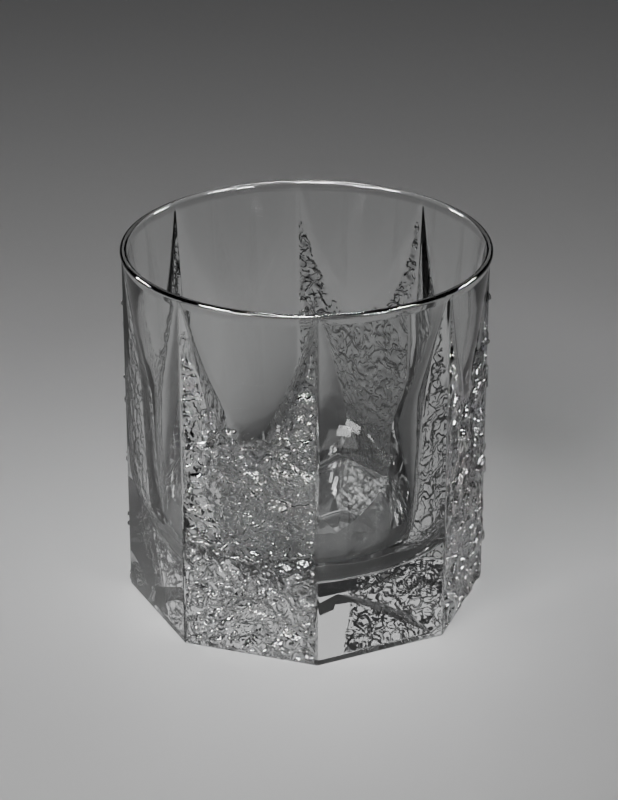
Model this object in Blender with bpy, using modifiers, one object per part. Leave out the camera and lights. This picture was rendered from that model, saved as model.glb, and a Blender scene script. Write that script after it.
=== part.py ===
"""An octagonal old-fashioned tumbler of pressed glass.

The glass is one moulded piece. It is a turned bowl, whose upper wall flares
to a round rim, fused into an eight-sided block. The block's corners rise
through the flare as ridges and vanish just below the lip. Metres, +Z up,
with the origin at the centre of the ring the tumbler stands on. Four of the
eight facets face along X and Y, and the other four lie between them. Inside
the ring the underside rises to a shallow eight-sided pyramid.
"""

import math

import bmesh
import bpy
from mathutils import Matrix

# Driving dimensions
HEIGHT = 0.0894
RIM_RADIUS = 0.0440

# Eight-sided block
SIDES = 8
CORNER_RADIUS = 0.0437
BLOCK_TOP = HEIGHT - 0.0013
EDGE_ROUNDING = 0.0004
EDGE_SEGMENTS = 3

# Underside: the pyramid's corners point at the block's corners
KICK_HEIGHT = 0.0042
KICK_CORNER_RADIUS = 0.0390
KICK_CUT_BELOW = 0.0010

# Outside of the bowl: a hidden cylinder, an arc, then a straight flare
APOTHEM = CORNER_RADIUS * math.cos(math.pi / SIDES)
BOWL_RADIUS = APOTHEM - 0.0001
BOWL_BOTTOM = 0.0080
FLARE_START = 0.0524
FLARE_ARC_RADIUS = 0.125
FLARE_ANGLE = math.radians(6.56)

# Lip: a fire-polished bead, thicker than the wall below it
LIP_THICKNESS = 0.0017
LIP_RADIUS = LIP_THICKNESS / 2
LIP_START = math.radians(176)
LIP_END = math.radians(-14)
LIP_STEPS = 9
BEAD_START = HEIGHT - 0.0024

# Inside of the bowl
FLOOR = 0.0155
FLOOR_DISH = 0.0008
DISH_MIDDLE = 0.55
DEPTH_AT_DISH_MIDDLE = 0.7
FLOOR_CORNER_START = math.radians(-84)
FLOOR_CORNER_RADIUS = 0.0140
INNER_FOOT_RADIUS = 0.0355
INNER_WAIST_HEIGHT = 0.0570
INNER_WAIST_RADIUS = 0.0378
INNER_TOP_HEIGHT = HEIGHT - 0.0032
INNER_TOP_RADIUS = 0.0418

# The bore in the block runs inside the bowl's wall, so no two faces coincide
BORE_INTO_WALL = 0.0008

# Turning
TURN_STEPS = 96
ARC_STEPS = 7
FLOOR_STEPS = 7
WELD = 0.00001
BEVELLED_ABOVE = math.radians(30)
SHARP_ABOVE = math.radians(25)

COLLECTION = "Tumbler"
CUTTER_COLLECTION = "Tumbler cutters"
GLASS_COLOUR = (0.96, 0.98, 0.97, 1.0)


def clear_scene():
    for obj in list(bpy.data.objects):
        bpy.data.objects.remove(obj, do_unlink=True)


def new_collection(name):
    collection = bpy.data.collections.new(name)
    bpy.context.scene.collection.children.link(collection)
    return collection


def arc(centre, radius, start, end, steps):
    """Points on an arc in the profile's plane, both ends included. Angles in radians."""
    points = []
    for i in range(steps + 1):
        angle = start + (end - start) * i / steps
        points.append(
            (
                centre[0] + radius * math.cos(angle),
                centre[1] + radius * math.sin(angle),
            )
        )
    return points


def floor_and_inner_wall():
    """From the axis out over the dished floor, round its corner and up to the lip."""
    wall_angle = math.atan2(
        INNER_WAIST_RADIUS - INNER_FOOT_RADIUS,
        INNER_WAIST_HEIGHT - FLOOR - FLOOR_CORNER_RADIUS,
    )
    corner = (
        INNER_FOOT_RADIUS - FLOOR_CORNER_RADIUS,
        FLOOR + FLOOR_CORNER_RADIUS,
    )
    points = [
        (0.0, FLOOR - FLOOR_DISH),
        (corner[0] * DISH_MIDDLE, FLOOR - FLOOR_DISH * DEPTH_AT_DISH_MIDDLE),
    ]
    points += arc(
        corner, FLOOR_CORNER_RADIUS, FLOOR_CORNER_START, -wall_angle, FLOOR_STEPS
    )
    points.append((INNER_WAIST_RADIUS, INNER_WAIST_HEIGHT))
    points.append((INNER_TOP_RADIUS, INNER_TOP_HEIGHT))
    return points


def lip():
    """Over the top of the wall, from its inner side to its outer side."""
    centre = (RIM_RADIUS - LIP_RADIUS, HEIGHT - LIP_RADIUS)
    return arc(centre, LIP_RADIUS, LIP_START, LIP_END, LIP_STEPS)


def outer_wall():
    """From under the bead down the straight flare and its arc to the hidden cylinder."""
    arc_centre = (BOWL_RADIUS + FLARE_ARC_RADIUS, FLARE_START)
    flare = arc(
        arc_centre, FLARE_ARC_RADIUS, math.pi - FLARE_ANGLE, math.pi, ARC_STEPS
    )
    arc_top = flare[0]
    bead_radius = arc_top[0] + (BEAD_START - arc_top[1]) * math.tan(FLARE_ANGLE)
    return [(bead_radius, BEAD_START)] + flare + [(BOWL_RADIUS, BOWL_BOTTOM)]


def bore_outline():
    """The floor and inner wall, moved into the glass, for the hole in the block."""
    moved = []
    for radius, height in floor_and_inner_wall():
        depth = BORE_INTO_WALL if radius > 0.0 else 0.0
        moved.append((radius + depth, height - BORE_INTO_WALL))
    top = HEIGHT + BORE_INTO_WALL
    return [(0.0, top), (moved[-1][0], top)] + moved[::-1]


def turned(name, outline, collection):
    """A solid made by turning an outline about Z. It runs down its outer side."""
    mesh = bpy.data.meshes.new(name)
    vertices = [(radius, 0.0, height) for radius, height in outline]
    edges = [(i, i + 1) for i in range(len(outline) - 1)]
    mesh.from_pydata(vertices, edges, [])
    obj = bpy.data.objects.new(name, mesh)
    collection.objects.link(obj)
    screw = obj.modifiers.new("Turn", "SCREW")
    screw.axis = "Z"
    screw.angle = math.tau
    screw.steps = TURN_STEPS
    screw.render_steps = TURN_STEPS
    screw.use_merge_vertices = True
    screw.merge_threshold = WELD
    screw.use_normal_calculate = False
    return obj


def octagonal_block(name, collection):
    """The eight-sided block with rounded edges, a facet facing -Y."""
    mesh = bpy.data.meshes.new(name)
    bm = bmesh.new()
    half_facet = math.pi / SIDES
    stand = Matrix.Translation((0.0, 0.0, BLOCK_TOP / 2))
    turn = Matrix.Rotation(half_facet, 4, "Z")
    bmesh.ops.create_cone(
        bm,
        cap_ends=True,
        segments=SIDES,
        radius1=CORNER_RADIUS,
        radius2=CORNER_RADIUS,
        depth=BLOCK_TOP,
        matrix=stand @ turn,
    )
    bm.to_mesh(mesh)
    bm.free()
    obj = bpy.data.objects.new(name, mesh)
    collection.objects.link(obj)
    bevel = obj.modifiers.new("Edge rounding", "BEVEL")
    bevel.width = EDGE_ROUNDING
    bevel.segments = EDGE_SEGMENTS
    bevel.limit_method = "ANGLE"
    bevel.angle_limit = BEVELLED_ABOVE
    return obj


def kick_pyramid(name, collection):
    """The hollow under the base: an eight-sided pyramid, run on a little below it."""
    mesh = bpy.data.meshes.new(name)
    bm = bmesh.new()
    depth = KICK_HEIGHT + KICK_CUT_BELOW
    foot_radius = KICK_CORNER_RADIUS * depth / KICK_HEIGHT
    stand = Matrix.Translation((0.0, 0.0, depth / 2 - KICK_CUT_BELOW))
    turn = Matrix.Rotation(math.pi / SIDES, 4, "Z")
    bmesh.ops.create_cone(
        bm,
        cap_ends=True,
        segments=SIDES,
        radius1=foot_radius,
        radius2=0.0,
        depth=depth,
        matrix=stand @ turn,
    )
    bmesh.ops.remove_doubles(bm, verts=bm.verts, dist=WELD)
    bm.to_mesh(mesh)
    bm.free()
    obj = bpy.data.objects.new(name, mesh)
    collection.objects.link(obj)
    return obj


def boolean(obj, other, operation):
    modifier = obj.modifiers.new(operation.title(), "BOOLEAN")
    modifier.object = other
    modifier.operation = operation
    modifier.solver = "EXACT"


def hide_helper(obj):
    obj.hide_render = True
    obj.display_type = "WIRE"


def glass_material():
    material = bpy.data.materials.new("Clear glass")
    material.use_nodes = True
    shader = material.node_tree.nodes["Principled BSDF"]
    shader.inputs["Base Color"].default_value = GLASS_COLOUR
    shader.inputs["Roughness"].default_value = 0.02
    shader.inputs["Metallic"].default_value = 0.0
    shader.inputs["IOR"].default_value = 1.52
    shader.inputs["Transmission Weight"].default_value = 1.0
    return material


def build_tumbler():
    parts = new_collection(COLLECTION)
    helpers = new_collection(CUTTER_COLLECTION)
    tumbler = octagonal_block("tumbler", parts)
    kick = kick_pyramid("kick_cutter", helpers)
    bore = turned("bore_cutter", bore_outline(), helpers)
    bowl = turned(
        "bowl_blank", floor_and_inner_wall() + lip() + outer_wall() + [(0.0, BOWL_BOTTOM)],
        helpers,
    )
    boolean(tumbler, kick, "DIFFERENCE")
    boolean(tumbler, bore, "DIFFERENCE")
    boolean(tumbler, bowl, "UNION")
    for helper in (kick, bore, bowl):
        hide_helper(helper)
    helpers.hide_render = True
    tumbler.data.materials.append(glass_material())
    tumbler.data.shade_smooth()
    tumbler.data.set_sharp_from_angle(angle=SHARP_ABOVE)


clear_scene()
build_tumbler()
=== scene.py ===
# A heavy octagonal whiskey tumbler in clear pressed glass, on a pale table in soft studio light.
import math

import bpy
import numpy as np
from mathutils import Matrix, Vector, noise


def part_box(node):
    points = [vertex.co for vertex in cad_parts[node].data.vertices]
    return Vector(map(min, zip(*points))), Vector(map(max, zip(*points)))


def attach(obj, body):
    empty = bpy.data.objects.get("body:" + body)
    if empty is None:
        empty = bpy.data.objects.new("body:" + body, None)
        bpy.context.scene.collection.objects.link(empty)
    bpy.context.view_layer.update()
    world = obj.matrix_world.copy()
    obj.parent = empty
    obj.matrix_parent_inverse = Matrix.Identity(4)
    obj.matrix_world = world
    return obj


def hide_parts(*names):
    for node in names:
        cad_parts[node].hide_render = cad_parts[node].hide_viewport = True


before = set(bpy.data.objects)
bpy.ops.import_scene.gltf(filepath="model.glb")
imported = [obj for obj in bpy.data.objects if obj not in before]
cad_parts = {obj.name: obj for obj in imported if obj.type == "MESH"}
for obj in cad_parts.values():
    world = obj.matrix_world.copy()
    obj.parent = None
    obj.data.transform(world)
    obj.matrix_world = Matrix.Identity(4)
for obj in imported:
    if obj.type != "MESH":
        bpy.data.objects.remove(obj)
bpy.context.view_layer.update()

mm = 0.001
lowCorner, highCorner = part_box("tumbler")
glassHeight = highCorner.z - lowCorner.z
rimRadius = (highCorner.x - lowCorner.x) / 2
print("frame loaded:", round(glassHeight / mm, 1), "mm high, rim radius", round(rimRadius / mm, 1), "mm")


# small helpers
def smoothStep(low, high, value):
    t = np.clip((value - low) / (high - low), 0.0, 1.0)
    return t * t * (3.0 - 2.0 * t)


def softMax(first, second, width):
    # the larger of two radii, with the crease between them eased over the given width
    gap = np.clip(0.5 + 0.5 * (first - second) / width, 0.0, 1.0)
    return second + (first - second) * gap + width * gap * (1.0 - gap)


def arcPoints(centre, radius, startDeg, endDeg, steps):
    angles = np.radians(np.linspace(startDeg, endDeg, steps))
    return [(centre[0] + radius * math.cos(a), centre[1] + radius * math.sin(a)) for a in angles]


# shape of the glass
tumblerShape = {
    "sides": 8,
    "cornerRadius": 43.7 * mm,      # octagon's corner circle
    "ridgeRounding": 0.97 * mm,     # arc along each upright ridge
    "footRounding": 0.4 * mm,       # arc where the wall meets the underside
    "kickHeight": 4.2 * mm,         # shallow eight-sided pyramid under the base
    "kickCorner": 39.0 * mm,
    "kickSag": 1.06,                # above 1, its faces sag a little between centre and ring
    "blockTop": 1.3 * mm,           # below the rim plane, where the ridges have run out
    "flareStart": 52.4 * mm,
    "flareArc": 125.0 * mm,
    "flareDeg": 6.56,
    "creaseWidth": 0.10 * mm,       # easing where a facet runs into the round flare
    "lipRadius": 0.85 * mm,
    "beadStart": 2.4 * mm,          # below the rim plane
    "floor": 15.5 * mm,
    "floorDish": 0.8 * mm,
    "floorCorner": 14.0 * mm,
    "innerFoot": 35.5 * mm,
    "innerWaistHeight": 57.0 * mm,
    "innerWaist": 37.8 * mm,
    "innerTopDrop": 3.2 * mm,
    "innerTop": 41.8 * mm,
    "bodyInset": 0.1 * mm,          # how far the round body stays inside the facets
    "barkColumns": 80,              # grid columns across one bark facet
    "plainColumns": 16,             # and across one plain facet
    "plainCrowding": 0.8,           # up to 1, draws them towards the ridges
    "ridgeMargin": 0.75 * mm,       # no even columns closer to a ridge than this
    "ridgeSteps": (0.0, 0.18 * mm, 0.38 * mm),
    "rowStep": 0.44 * mm,
    "upperRowStep": 0.85 * mm,
    "upperFrom": 72.0 * mm,
    "kickRows": (0.02, 0.1, 0.2, 0.3, 0.4, 0.5, 0.6, 0.7, 0.8, 0.9, 0.97, 1.0),
    "ringRows": (0.05, 0.95),
    "footRowsDeg": (0, 22, 45, 68),
    "lipStartDeg": -22,
    "lipEndDeg": 178,
    "lipRows": 12,
    "wallRows": 4,
    "floorCornerEndDeg": -86,
    "floorCornerRows": 11,
    "floorRows": (0.75, 0.5, 0.25),
}

# moulded bark relief, on every second facet
barkRelief = {
    "chipSize": 3.7 * mm,           # large flat-topped chips
    "chipEdge": 0.11,
    "chipHeight": 0.88 * mm,
    "flakeSize": 1.9 * mm,          # smaller ones over and between them
    "flakeEdge": 0.16,
    "flakeHeight": 0.40 * mm,
    "swellSize": 7.0 * mm,
    "swellHeight": 0.45 * mm,
    "warp": 0.85,                   # how far the relief is bent, in chip sizes
    "warpScale": 0.7,               # below 1, the bends are longer than the chips
    "sink": 0.56 * mm,              # puts the mean of the relief on the facet's plane
    "plainStrip": 0.55 * mm,        # smooth strip beside each ridge
    "stripFade": 0.7 * mm,
    "topMiddle": 56.0 * mm,         # where the relief ends at a facet's middle
    "topRise": 31.0 * mm,           # how much higher it reaches at the ridges
    "topPower": 2.6,
    "topWander": 3.2 * mm,          # how far its top edge strays
    "topWaves": (4.0 * mm, 5.0 * mm),
    "nickWaves": (1.3 * mm, 1.6 * mm),
    "nickShare": 0.4,
    "topFade": 2.2 * mm,
    "footFade": 1.0 * mm,
    "footShare": 0.45,              # what is left of the relief where it meets the table
}


def octagonRadius(theta):
    # polar radius of the octagon with rounded ridges, facets facing -Y, +X and so on
    shape = tumblerShape
    half = math.pi / shape["sides"]
    apothem = shape["cornerRadius"] * math.cos(half)
    rounding = shape["ridgeRounding"]
    fromMiddle = (theta + half) % (2 * half) - half
    flat = apothem / np.cos(fromMiddle)
    centre = (apothem - rounding) / math.cos(half)
    fromRidge = half - np.abs(fromMiddle)
    tangent = math.atan2(rounding * math.sin(half), centre + rounding * math.cos(half))
    inside = np.clip(rounding ** 2 - (centre * np.sin(fromRidge)) ** 2, 0.0, None)
    rounded = centre * np.cos(fromRidge) + np.sqrt(inside)
    return np.where(fromRidge < tangent, rounded, flat)


def columnAngles():
    # bark facets get many even columns, plain facets fewer, closer together near the ridges
    shape = tumblerShape
    half = math.pi / shape["sides"]
    apothem = shape["cornerRadius"] * math.cos(half)
    facetHalf = apothem * math.tan(half)
    ridgeSteps = np.array(shape["ridgeSteps"])
    reach = facetHalf - shape["ridgeMargin"]
    quarter = math.pi / 2 * shape["plainCrowding"]
    angles = []
    for facet in range(shape["sides"]):
        if facet % 2 == 0:
            along = np.linspace(-reach, reach, shape["barkColumns"])
        else:
            turn = np.linspace(-1.0, 1.0, shape["plainColumns"])
            along = reach * np.sin(turn * quarter) / math.sin(quarter)
        edges = np.concatenate([-facetHalf + ridgeSteps, along, (facetHalf - ridgeSteps[1:])[::-1]])
        angles.append(facet * 2 * half + np.arctan2(edges, apothem))
    return np.concatenate(angles)


def outerTurnedRadius(height):
    # the round body: a cylinder just inside the facets, an arc, then a straight flare up to the bead
    shape = tumblerShape
    apothem = shape["cornerRadius"] * math.cos(math.pi / shape["sides"])
    base = apothem - shape["bodyInset"]
    angle = math.radians(shape["flareDeg"])
    arcRise = shape["flareArc"] * math.sin(angle)
    above = np.clip(height - shape["flareStart"], 0.0, None)
    onArc = shape["flareArc"] - np.sqrt(shape["flareArc"] ** 2 - np.minimum(above, arcRise) ** 2)
    return base + onArc + np.clip(above - arcRise, 0.0, None) * math.tan(angle)


def profileRows():
    # (radius, height, side) from the rim of the underside up, over the lip, and down inside to the floor
    shape = tumblerShape
    foot = shape["footRounding"]
    beadStart = glassHeight - shape["beadStart"]
    rows = []
    heights = [foot]
    while heights[-1] < shape["upperFrom"]:
        heights.append(heights[-1] + shape["rowStep"])
    while heights[-1] < beadStart - shape["upperRowStep"]:
        heights.append(heights[-1] + shape["upperRowStep"])
    heights.append(beadStart)
    for height in heights:
        rows.append((float(outerTurnedRadius(np.array(height))), height, "outer"))
    lipCentre = (rimRadius - shape["lipRadius"], glassHeight - shape["lipRadius"])
    firstDeg, lastDeg = shape["lipStartDeg"], shape["lipEndDeg"]
    for radius, height in arcPoints(lipCentre, shape["lipRadius"], firstDeg, lastDeg, shape["lipRows"]):
        rows.append((radius, height, "lip"))
    topHeight = glassHeight - shape["innerTopDrop"]
    rows.append((shape["innerTop"], topHeight, "inner"))
    steps = shape["wallRows"]
    for i in range(1, steps + 1):
        t = i / steps
        radius = shape["innerTop"] + (shape["innerWaist"] - shape["innerTop"]) * t
        rows.append((radius, topHeight + (shape["innerWaistHeight"] - topHeight) * t, "inner"))
    corner = (shape["innerFoot"] - shape["floorCorner"], shape["floor"] + shape["floorCorner"])
    spread = shape["innerWaist"] - shape["innerFoot"]
    lean = math.degrees(math.atan2(spread, shape["innerWaistHeight"] - corner[1]))
    lastDeg, cornerRows = shape["floorCornerEndDeg"], shape["floorCornerRows"]
    wallFoot = arcPoints(corner, shape["floorCorner"], -lean, lastDeg, cornerRows)
    footRadius, footHeight = wallFoot[0]
    for i in range(1, steps):
        t = i / steps
        radius = shape["innerWaist"] + (footRadius - shape["innerWaist"]) * t
        height = shape["innerWaistHeight"] + (footHeight - shape["innerWaistHeight"]) * t
        rows.append((radius, height, "inner"))
    for radius, height in wallFoot:
        rows.append((radius, height, "inner"))
    floorEdge = wallFoot[-1]
    for share in shape["floorRows"]:
        height = shape["floor"] - shape["floorDish"] * (1 - share ** 2)
        rows.append((floorEdge[0] * share, height, "inner"))
    return rows


def barkHeight(along, height, seed):
    # flat-topped chips in two sizes over slow swells, all bent by a warp
    bark = barkRelief
    spot = Vector((along / bark["chipSize"], height / bark["chipSize"], 7.3 * seed))
    slow = spot * bark["warpScale"]
    bendAcross = noise.noise(slow + Vector((5.1, 0.0, 0.0)))
    bendUp = noise.noise(slow + Vector((0.0, 9.4, 0.0)))
    bent = spot + Vector((bendAcross, bendUp, 0.0)) * bark["warp"]
    chip = smoothStep(-bark["chipEdge"], bark["chipEdge"], noise.noise(bent))
    ratio = bark["chipSize"] / bark["flakeSize"]
    flake = noise.noise(bent * ratio + Vector((3.0, 1.0, 4.0)))
    flake = smoothStep(-bark["flakeEdge"], bark["flakeEdge"], flake)
    swell = noise.noise(spot * (bark["chipSize"] / bark["swellSize"]) + Vector((2.0, 6.0, 1.0)))
    raised = bark["chipHeight"] * chip + bark["flakeHeight"] * flake + bark["swellHeight"] * swell
    return raised - bark["sink"]


def barkMask(along, height, facetHalf, seed):
    # full in the relief, none on the plain strips by the ridges and above the wandering top edge
    bark = barkRelief
    fromRidge = facetHalf - abs(along)
    strip = smoothStep(bark["plainStrip"], bark["plainStrip"] + bark["stripFade"], fromRidge)
    share = abs(along) / facetHalf
    waveAcross, waveUp = bark["topWaves"]
    nickAcross, nickUp = bark["nickWaves"]
    wander = noise.noise(Vector((along / waveAcross, height / waveUp, 3.1 * seed)))
    wander += noise.noise(Vector((along / nickAcross, height / nickUp, 5.7 * seed))) * bark["nickShare"]
    top = bark["topMiddle"] + bark["topRise"] * share ** bark["topPower"] + wander * bark["topWander"]
    below = 1.0 - smoothStep(top - bark["topFade"], top, height)
    foot = smoothStep(0.0, bark["footFade"], height)
    return float(strip * below * (bark["footShare"] + (1.0 - bark["footShare"]) * foot))


def buildTumbler():
    shape = tumblerShape
    angles = columnAngles()
    columns = len(angles)
    half = math.pi / shape["sides"]
    apothem = shape["cornerRadius"] * math.cos(half)
    facetHalf = apothem * math.tan(half)
    blockTop = glassHeight - shape["blockTop"]
    outline = octagonRadius(angles)
    facetIndex = np.floor((angles + half) / (2 * half)).astype(int) % shape["sides"]
    fromMiddle = (angles + half) % (2 * half) - half
    along = apothem * np.tan(fromMiddle)
    ring = np.stack([np.sin(angles), -np.cos(angles)], 1)

    rows = []
    masks = []

    def addRow(radii, heights, mask=None):
        across = ring * np.asarray(radii)[:, None]
        rows.append(np.column_stack([across, np.broadcast_to(heights, columns)]))
        masks.append(np.zeros(columns) if mask is None else mask)

    # underside: the pyramid, the ring it stands on, then the foot's arc
    foot = shape["footRounding"]
    kick = shape["kickCorner"] * math.cos(half) / np.cos(fromMiddle)
    for share in shape["kickRows"]:
        addRow(kick * share, shape["kickHeight"] * (1.0 - share) ** shape["kickSag"])
    for share in shape["ringRows"]:
        addRow(kick + (outline - foot - kick) * share, 0.0)
    for deg in shape["footRowsDeg"]:
        a = math.radians(deg)
        addRow(outline - foot * (1 - math.sin(a)), foot * (1 - math.cos(a)))

    # outer wall, lip, inner wall and floor
    for radius, height, side in profileRows():
        if side != "outer" or height > blockTop:
            addRow(np.full(columns, radius), height)
            continue
        radii = softMax(outline, np.full(columns, radius), shape["creaseWidth"])
        mask = np.zeros(columns)
        relief = np.zeros(columns)
        for i in range(columns):
            if facetIndex[i] % 2 == 0:
                seed = 1 + facetIndex[i] // 2
                mask[i] = barkMask(along[i], height, facetHalf, seed)
                if mask[i] > 0.0:
                    relief[i] = mask[i] * barkHeight(along[i], height, seed)
        addRow(radii + relief / np.cos(fromMiddle), height, mask)

    # one point on the axis closes the underside, another the floor
    poles = [[0.0, 0.0, shape["kickHeight"]], [0.0, 0.0, shape["floor"] - shape["floorDish"]]]
    points = np.concatenate(rows + [np.array(poles)])
    rowCount = len(rows)
    faces = []
    for r in range(rowCount - 1):
        start = r * columns
        for c in range(columns):
            d = (c + 1) % columns
            faces.append((start + c, start + d, start + columns + d, start + columns + c))
    lowPole = rowCount * columns
    highPole = lowPole + 1
    last = (rowCount - 1) * columns
    for c in range(columns):
        d = (c + 1) % columns
        faces.append((lowPole, d, c))
        faces.append((highPole, last + c, last + d))
    mesh = bpy.data.meshes.new("tumblerGlass")
    mesh.from_pydata(points.tolist(), [], faces)
    mesh.update()
    mesh.shade_smooth()
    layer = mesh.attributes.new("barkMask", "FLOAT", "POINT")
    layer.data.foreach_set("value", np.concatenate(masks + [np.zeros(len(poles))]).astype(np.float32))
    tumbler = bpy.data.objects.new("tumblerGlass", mesh)
    bpy.context.scene.collection.objects.link(tumbler)
    print("tumbler:", len(points), "points,", len(faces), "faces,", rowCount, "rows,", columns, "columns")
    return tumbler


tumbler = buildTumbler()


# finish of the glass
glassFinish = {
    "tint": (0.985, 0.992, 0.990, 1.0),
    # painted shade: a darker base colour laid along the bark's creases
    "paintedCreaseShade": (0.90, 0.92, 0.92, 1.0),
    "ior": 1.52,
    "barkDull": 0.045,         # roughness in the folds of the bark, the rest is fire-polished
    "foldSize": 3.1,           # mm, larger folds of the bark
    "foldWarp": 0.9,
    "foldEdge": 0.15,          # half width of a fold, as a share of the noise's range
    "foldDepth": 0.42,         # mm
    "creaseSize": 1.1,         # mm, fine creases between them
    "creaseEdge": 0.10,
    "creaseDepth": 0.02,       # mm
    "rippleSize": 16.0,        # mm, slow waves that pressing leaves in every wall
    "rippleDepth": 0.06,       # mm
}


def addSocket(group, name, direction, kind, value=None):
    socket = group.interface.new_socket(name=name, in_out=direction, socket_type=kind)
    if value is not None:
        socket.default_value = value
    return socket


def mathNode(nodes, operation, *values):
    node = nodes.new("ShaderNodeMath")
    node.operation = operation
    for i, value in enumerate(values):
        if value is not None:
            node.inputs[i].default_value = value
    return node


def chipGroup():
    # flat-topped chips with steep edges, where a warped noise crosses its middle value
    group = bpy.data.node_groups.new("moldChips", "ShaderNodeTree")
    addSocket(group, "Vector", "INPUT", "NodeSocketVector")
    addSocket(group, "Size mm", "INPUT", "NodeSocketFloat", 1.0)
    addSocket(group, "Warp", "INPUT", "NodeSocketFloat", 0.6)
    addSocket(group, "Edge", "INPUT", "NodeSocketFloat", 0.06)
    addSocket(group, "Height", "OUTPUT", "NodeSocketFloat")
    nodes, links = group.nodes, group.links
    start = nodes.new("NodeGroupInput")
    end = nodes.new("NodeGroupOutput")
    perMetre = mathNode(nodes, "DIVIDE", 1000.0, None)
    links.new(start.outputs["Size mm"], perMetre.inputs[1])
    noiseNode = nodes.new("ShaderNodeTexNoise")
    noiseNode.noise_dimensions = "3D"
    noiseNode.inputs["Detail"].default_value = 0.8
    noiseNode.inputs["Roughness"].default_value = 0.45
    links.new(start.outputs["Vector"], noiseNode.inputs["Vector"])
    links.new(perMetre.outputs[0], noiseNode.inputs["Scale"])
    links.new(start.outputs["Warp"], noiseNode.inputs["Distortion"])
    low = mathNode(nodes, "SUBTRACT", 0.5, None)
    high = mathNode(nodes, "ADD", 0.5, None)
    links.new(start.outputs["Edge"], low.inputs[1])
    links.new(start.outputs["Edge"], high.inputs[1])
    step = nodes.new("ShaderNodeMapRange")
    step.interpolation_type = "SMOOTHSTEP"
    links.new(noiseNode.outputs["Fac"], step.inputs["Value"])
    links.new(low.outputs[0], step.inputs["From Min"])
    links.new(high.outputs[0], step.inputs["From Max"])
    links.new(step.outputs["Result"], end.inputs["Height"])
    return group


def glassMaterial():
    finish = glassFinish
    material = bpy.data.materials.new("clearPressedGlass")
    material.use_nodes = True
    nodes = material.node_tree.nodes
    links = material.node_tree.links
    shader = nodes["Principled BSDF"]
    shader.inputs["Metallic"].default_value = 0.0
    shader.inputs["IOR"].default_value = finish["ior"]
    shader.inputs["Transmission Weight"].default_value = 1.0
    place = nodes.new("ShaderNodeTexCoord")
    mask = nodes.new("ShaderNodeAttribute")
    mask.attribute_name = "barkMask"
    chips = chipGroup()

    def chip(size, warp, edge):
        node = nodes.new("ShaderNodeGroup")
        node.node_tree = chips
        node.inputs["Size mm"].default_value = size
        node.inputs["Warp"].default_value = warp
        node.inputs["Edge"].default_value = edge
        links.new(place.outputs["Object"], node.inputs["Vector"])
        return node.outputs["Height"]

    def scaled(source, factor):
        node = mathNode(nodes, "MULTIPLY", None, factor)
        links.new(source, node.inputs[0])
        return node.outputs[0]

    def combined(operation, first, second):
        node = mathNode(nodes, operation)
        links.new(first, node.inputs[0])
        links.new(second, node.inputs[1])
        return node.outputs[0]

    banks = chip(finish["foldSize"], finish["foldWarp"], finish["foldEdge"])
    hollows = mathNode(nodes, "SUBTRACT", 1.0, None)
    links.new(banks, hollows.inputs[1])
    # 1 along the line where bank turns to hollow, 0 on either side of it
    folds = scaled(combined("MULTIPLY", banks, hollows.outputs[0]), 4.0)
    creases = chip(finish["creaseSize"], finish["foldWarp"], finish["creaseEdge"])
    creaseHeight = scaled(creases, finish["creaseDepth"])
    bark = combined("ADD", scaled(folds, finish["foldDepth"]), creaseHeight)
    bark = combined("MULTIPLY", bark, mask.outputs["Fac"])
    ripple = nodes.new("ShaderNodeTexNoise")
    ripple.inputs["Scale"].default_value = 1000.0 / finish["rippleSize"]
    ripple.inputs["Detail"].default_value = 1.0
    links.new(place.outputs["Object"], ripple.inputs["Vector"])
    height = combined("ADD", bark, scaled(ripple.outputs["Fac"], finish["rippleDepth"]))
    bump = nodes.new("ShaderNodeBump")
    bump.inputs["Strength"].default_value = 1.0
    bump.inputs["Distance"].default_value = mm
    links.new(height, bump.inputs["Height"])
    links.new(bump.outputs["Normal"], shader.inputs["Normal"])

    dull = combined("MULTIPLY", scaled(folds, finish["barkDull"]), mask.outputs["Fac"])
    links.new(dull, shader.inputs["Roughness"])
    # painted shade: the glass tint darkens towards the painted crease shade where the bark's creases run
    tint = nodes.new("ShaderNodeMix")
    tint.data_type = "RGBA"
    tint.inputs[6].default_value = finish["tint"]
    tint.inputs[7].default_value = finish["paintedCreaseShade"]
    links.new(combined("MULTIPLY", creases, mask.outputs["Fac"]), tint.inputs[0])
    links.new(tint.outputs[2], shader.inputs["Base Color"])
    return material


tumbler.data.materials.append(glassMaterial())
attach(tumbler, "root")
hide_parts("tumbler")


# table, lights and camera
stageSet = {
    "floorColour": (0.62, 0.62, 0.62, 1.0),
    "floorRoughness": 0.6,
    "floorSize": 6.0,
    "floorDrop": 0.2 * mm,     # a gap that keeps the table and the glass from sharing a plane
    "worldColour": (0.01, 0.01, 0.011, 1.0),
    "worldStrength": 1.0,
}


def buildStage():
    size = stageSet["floorSize"] / 2
    mesh = bpy.data.meshes.new("tableTop")
    corners = [(-size, -size, 0), (size, -size, 0), (size, size, 0), (-size, size, 0)]
    mesh.from_pydata(corners, [], [(0, 1, 2, 3)])
    table = bpy.data.objects.new("tableTop", mesh)
    table.location.z = -stageSet["floorDrop"]
    bpy.context.scene.collection.objects.link(table)
    material = bpy.data.materials.new("paleTable")
    material.use_nodes = True
    shader = material.node_tree.nodes["Principled BSDF"]
    shader.inputs["Base Color"].default_value = stageSet["floorColour"]
    shader.inputs["Roughness"].default_value = stageSet["floorRoughness"]
    mesh.materials.append(material)
    world = bpy.data.worlds.new("studio")
    bpy.context.scene.world = world
    world.use_nodes = True
    background = world.node_tree.nodes["Background"]
    background.inputs["Color"].default_value = stageSet["worldColour"]
    background.inputs["Strength"].default_value = stageSet["worldStrength"]


# each softbox: turn in degrees seen from above (front 0, right 90), rise in degrees,
# then distance, width and height in metres, and brightness
tableLights = {
    "keyBox": (-5, 52, 0.42, 0.15, 0.15, 15.0),
    "fillBox": (19, 78, 0.90, 0.50, 0.50, 1.5),
}
# seen in and through the glass alone, so they leave the table as it is
glassLights = {
    "backBox": (199, 37, 2.00, 2.50, 1.30, 0.62),
}
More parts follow.
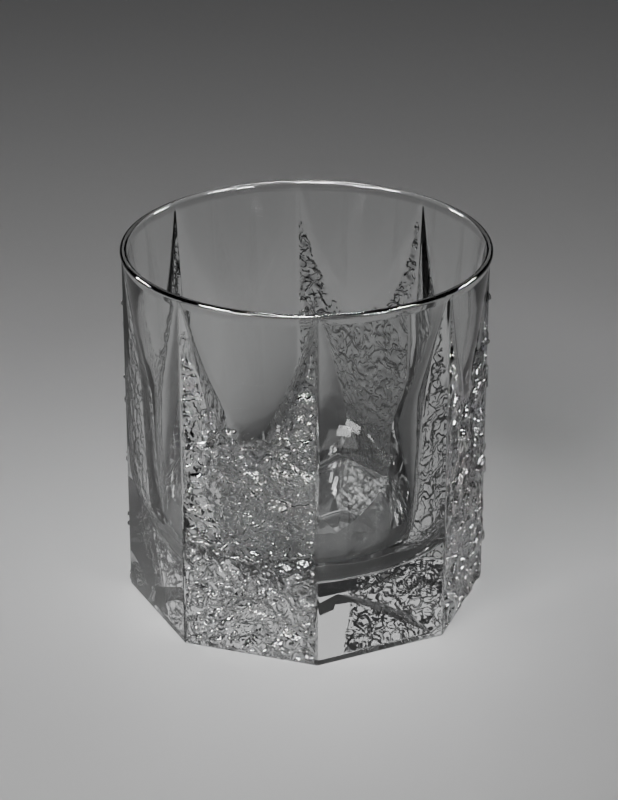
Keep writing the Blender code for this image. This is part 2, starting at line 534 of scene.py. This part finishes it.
# small and bright, for glints on the bark: reflections in the glass alone
glintLights = {
    "overheadGlint": (199, 66, 0.80, 0.30, 0.10, 90.0),
    "frontGlint": (12, 64, 0.80, 0.23, 0.23, 190.0),
    "frontLeftGlint": (-45, 42, 0.80, 0.19, 0.25, 190.0),
    "frontRightGlint": (85, 40, 0.80, 0.18, 0.23, 170.0),
    "leftGlint": (-95, 16, 0.80, 0.21, 0.14, 190.0),
    "rightGlint": (130, 18, 0.80, 0.21, 0.14, 190.0),
    "lowFrontLeftGlint": (-20, 24, 0.90, 0.21, 0.16, 190.0),
    "lowFrontRightGlint": (60, 22, 0.90, 0.21, 0.16, 190.0),
}


glintBounces = 4               # few, so that they don't light the table under the glass


def softBox(name, turnDeg, riseDeg, distance, width, height, brightness):
    turn, rise = math.radians(turnDeg), math.radians(riseDeg)
    middle = Vector((0.0, 0.0, glassHeight / 2))
    towards = Vector((math.sin(turn) * math.cos(rise), -math.cos(turn) * math.cos(rise), math.sin(rise)))
    data = bpy.data.lights.new(name, "AREA")
    data.shape = "RECTANGLE"
    data.size, data.size_y = width, height
    data.energy = brightness * math.pi * width * height
    light = bpy.data.objects.new(name, data)
    light.location = middle + towards * distance
    light.rotation_euler = towards.to_track_quat("Z", "Y").to_euler()
    light.visible_camera = False
    bpy.context.scene.collection.objects.link(light)
    return light


cameraSet = {
    "azimuthDeg": 19.12,      # seen from front, turned towards +X
    "pitchDeg": 24.65,        # looking down
    "distance": 0.6073,       # from the axis, level
    "aboveRim": 0.2381,
    "sideStep": 0.0006,
    "lens": 124.4,
}


def buildCamera():
    azimuth = math.radians(cameraSet["azimuthDeg"])
    data = bpy.data.cameras.new("productCamera")
    data.lens = cameraSet["lens"]
    data.sensor_width = 36.0
    camera = bpy.data.objects.new("productCamera", data)
    side, back = cameraSet["sideStep"], cameraSet["distance"]
    camera.location = (
        side * math.cos(azimuth) + back * math.sin(azimuth),
        side * math.sin(azimuth) - back * math.cos(azimuth),
        glassHeight + cameraSet["aboveRim"],
    )
    camera.rotation_euler = (math.radians(90 - cameraSet["pitchDeg"]), 0.0, azimuth)
    bpy.context.scene.collection.objects.link(camera)
    bpy.context.scene.camera = camera


buildStage()
glassOnly = bpy.data.collections.new("glassOnly")
glassOnly.objects.link(tumbler)
for name, values in tableLights.items():
    softBox(name, *values).visible_transmission = False
for name, values in glassLights.items():
    softBox(name, *values).light_linking.receiver_collection = glassOnly
for name, values in glintLights.items():
    glint = softBox(name, *values)
    glint.visible_transmission = False
    glint.light_linking.receiver_collection = glassOnly
    glint.data.cycles.max_bounces = glintBounces
buildCamera()
print("stage, lights and camera ready")
